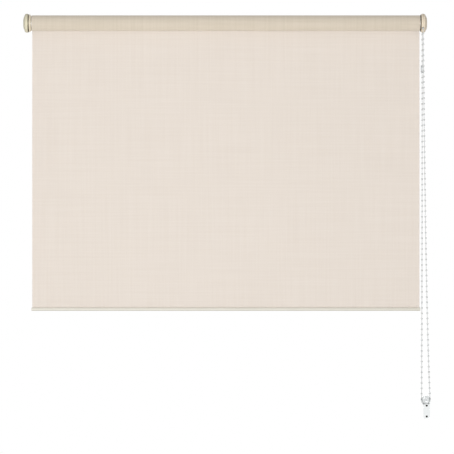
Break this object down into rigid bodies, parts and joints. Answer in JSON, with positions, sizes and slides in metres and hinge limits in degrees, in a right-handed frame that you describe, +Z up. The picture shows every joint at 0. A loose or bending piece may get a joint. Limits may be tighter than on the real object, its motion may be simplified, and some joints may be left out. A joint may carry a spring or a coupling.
{
  "type": "roller blind",
  "caption": "Wall fixed screen roller blind on two capped brackets, with a bead chain drive on the right, a weighted bottom rail and a clear chain holder.",
  "frame": {"origin": "midway between the two brackets' screw patterns, on the wall's face, at the height of the roller's axis", "axes": "+X along the roller towards the chain, +Y into the wall, +Z up"},
  "size_m": [0.9107, 0.053, 0.9057],
  "materials": {
    "plated_steel": "zinc plated",
    "spring_steel": "oiled",
    "cover_plastic": "satin moulding",
    "white_plastic": "moulded",
    "grey_plastic": "moulded",
    "clear_plastic": "clear and polished",
    "bead_plastic": "moulded on a cord",
    "aluminium": "mill finish",
    "tape": "adhesive tape",
    "screen_cloth": "coated yarn in an open basket weave",
    "rail_enamel": "powder coated",
    "rail_plastic": "moulded"
  },
  "bodies": {
    "mounting": {"left_bracket": "plated_steel", "right_bracket": "plated_steel", "left_cover": "cover_plastic", "right_cover": "cover_plastic", "bracket_bush": "white_plastic", "chain_housing": "cover_plastic", "drive_core": "grey_plastic", "retaining_ring": "spring_steel", "holder_foot": "clear_plastic", "holder_cap": "clear_plastic", "bead_chain": "bead_plastic", "chain_connector": "clear_plastic"},
    "roller": {"tube": "aluminium", "fixing_tape": "tape", "wound_fabric": "screen_cloth", "drive_adaptor": "grey_plastic", "sprocket": "white_plastic", "clutch_springs": "spring_steel", "idle_plug": "white_plastic", "pin_spring": "spring_steel"},
    "idle_pin": {"idle_pin": "grey_plastic"},
    "bottom_bar": {"bottom_rail": "rail_enamel", "hem_rod": "white_plastic", "rail_cap_left": "rail_plastic", "rail_cap_right": "rail_plastic", "screen_fabric": "screen_cloth"}
  },
  "joints": [
    {"name": "roller_spin", "type": "hinge", "parent": "mounting", "child": "roller", "pos_m": [0, -0.032, 0], "axis": [1, 0, 0], "range_deg": [-2784, 1956], "deforming": ["bead_chain"]},
    {"name": "bar_lift", "type": "slide", "parent": "mounting", "child": "bottom_bar", "axis": [0, 0, 1], "range_m": [-0.858, 0.603], "deforming": ["screen_fabric"]},
    {"name": "pin_slide", "type": "slide", "parent": "roller", "child": "idle_pin", "axis": [1, 0, 0], "range_m": [0, 0.006], "stiffness_N_per_m": 300, "springref_m": -0.01, "deforming": ["pin_spring"]}
  ],
  "couplings": [
    {"joint": "bar_lift", "follows": "roller_spin", "m_per_rad": 0.017651}
  ]
}
